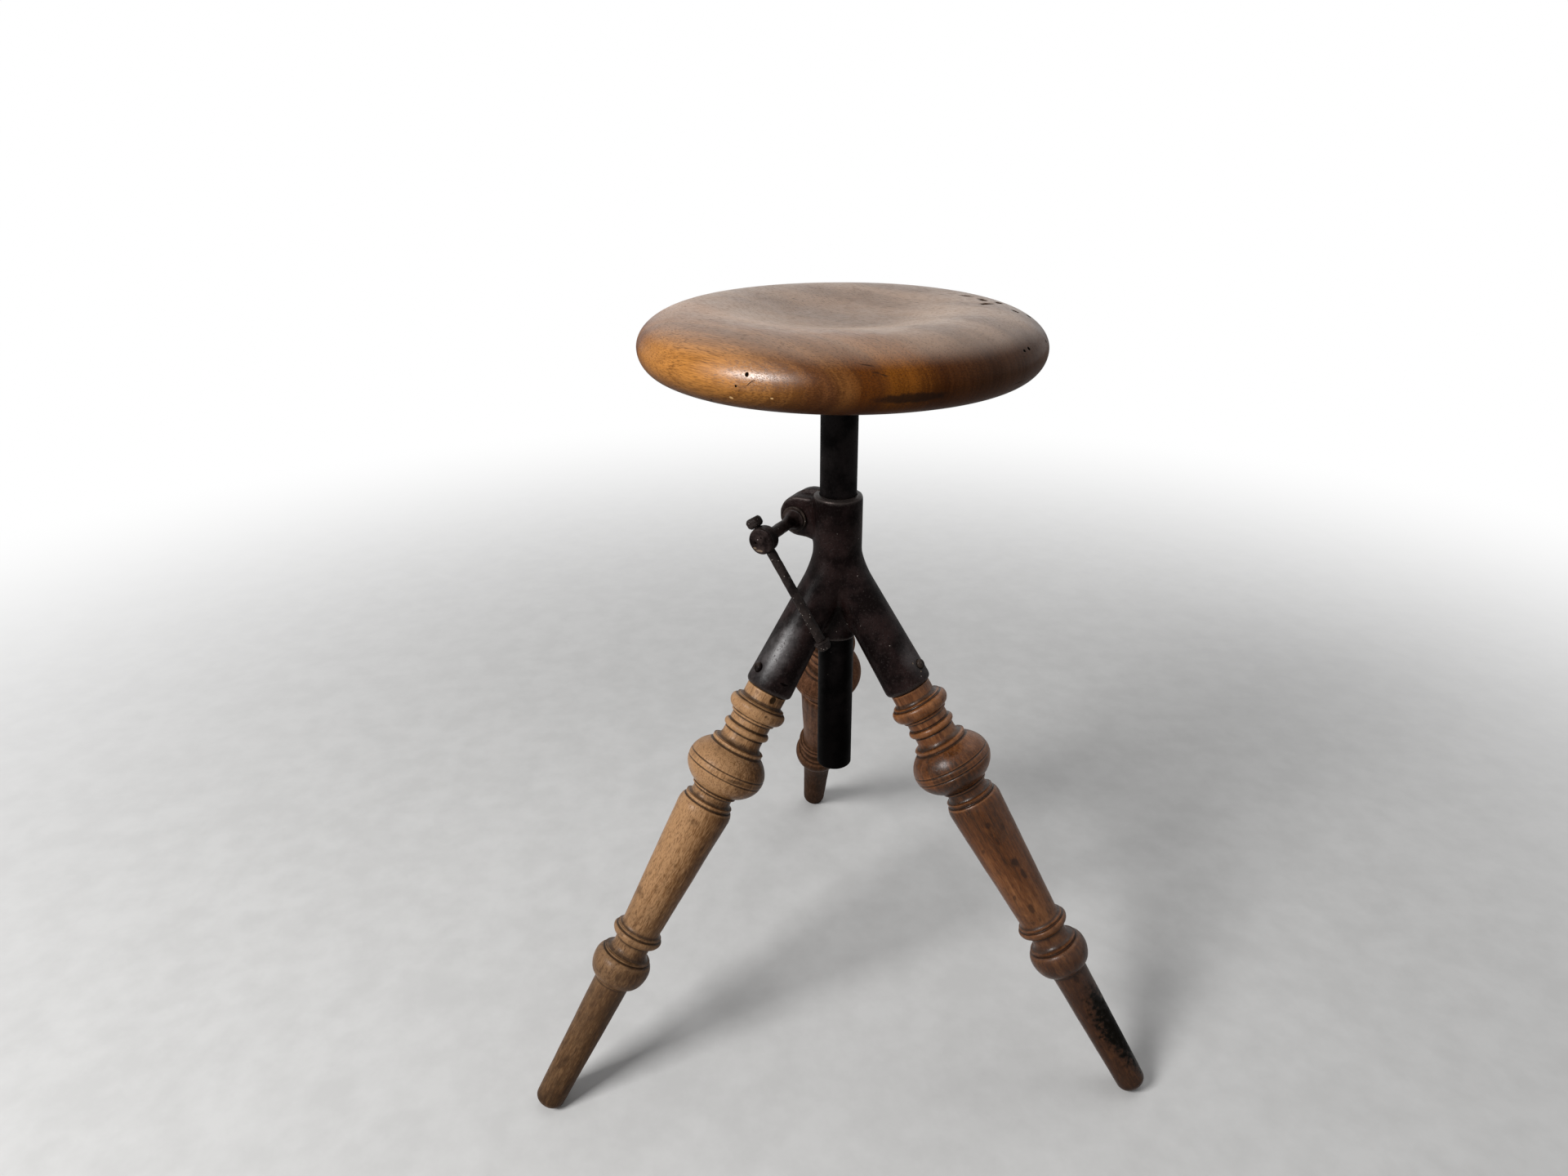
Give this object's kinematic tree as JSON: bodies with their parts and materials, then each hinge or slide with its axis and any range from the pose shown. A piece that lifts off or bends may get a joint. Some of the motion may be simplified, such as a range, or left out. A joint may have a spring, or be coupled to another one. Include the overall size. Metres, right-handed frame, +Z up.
{
  "type": "workshop stool",
  "caption": "Tripod workshop stool: dished round wooden seat on an iron post, clamped at its height in a split collar over splayed turned wooden legs.",
  "frame": {"origin": "on the floor plane under the three feet, on the axis of the post", "axes": "+Z up along the post, +Y towards the back leg, +X to the right of someone who faces the back leg"},
  "size_m": [0.563, 0.4912, 0.6955],
  "materials": {
    "seat_wood": "satin varnish",
    "leg_wood": "satin varnish, worn",
    "black_iron": "dark, oiled",
    "post_iron": "dark, oiled",
    "bar_iron": "dark, pitted",
    "screw_steel": "dark, aged"
  },
  "bodies": {
    "stand": {"hub": "black_iron", "leg_left": "leg_wood", "leg_right": "leg_wood", "leg_back": "leg_wood", "leg_screw_left": "screw_steel", "leg_screw_right": "screw_steel", "leg_screw_back": "screw_steel"},
    "post": {"post": "post_iron"},
    "seat": {"seat": "seat_wood", "seat_flange": "black_iron", "flange_screw_1": "screw_steel", "flange_screw_2": "screw_steel", "flange_screw_3": "screw_steel", "flange_screw_4": "screw_steel", "swivel_screw": "screw_steel"},
    "clamp_washer": {"clamp_washer": "screw_steel"},
    "clamp_screw": {"clamp_screw": "black_iron"},
    "tommy_bar": {"tommy_bar": "bar_iron", "bar_knob_upper": "bar_iron", "bar_knob_lower": "bar_iron"}
  },
  "joints": [
    {"name": "seat_height", "type": "slide", "parent": "stand", "child": "post", "axis": [0, 0, 1], "range_m": [-0.038, 0.13]},
    {"name": "seat_swivel", "type": "hinge", "parent": "post", "child": "seat", "pos_m": [0, 0, 0.62], "axis": [0, 0, 1], "continuous": true},
    {"name": "clamp_feed", "type": "slide", "parent": "stand", "child": "clamp_washer", "axis": [-0.5, -0.866, 0], "range_m": [0, 0.0008]},
    {"name": "clamp_turn", "type": "hinge", "parent": "clamp_washer", "child": "clamp_screw", "pos_m": [-0.03079, 0.01777, 0.5115], "axis": [-0.5, -0.866, 0], "range_deg": [0, 110]},
    {"name": "bar_slide", "type": "slide", "parent": "clamp_screw", "child": "tommy_bar", "axis": [-0.4755, 0.2745, 0.8358], "range_m": [0, 0.0866]}
  ],
  "couplings": [
    {"joint": "clamp_feed", "follows": "clamp_turn", "m_per_rad": 0.00039789}
  ]
}
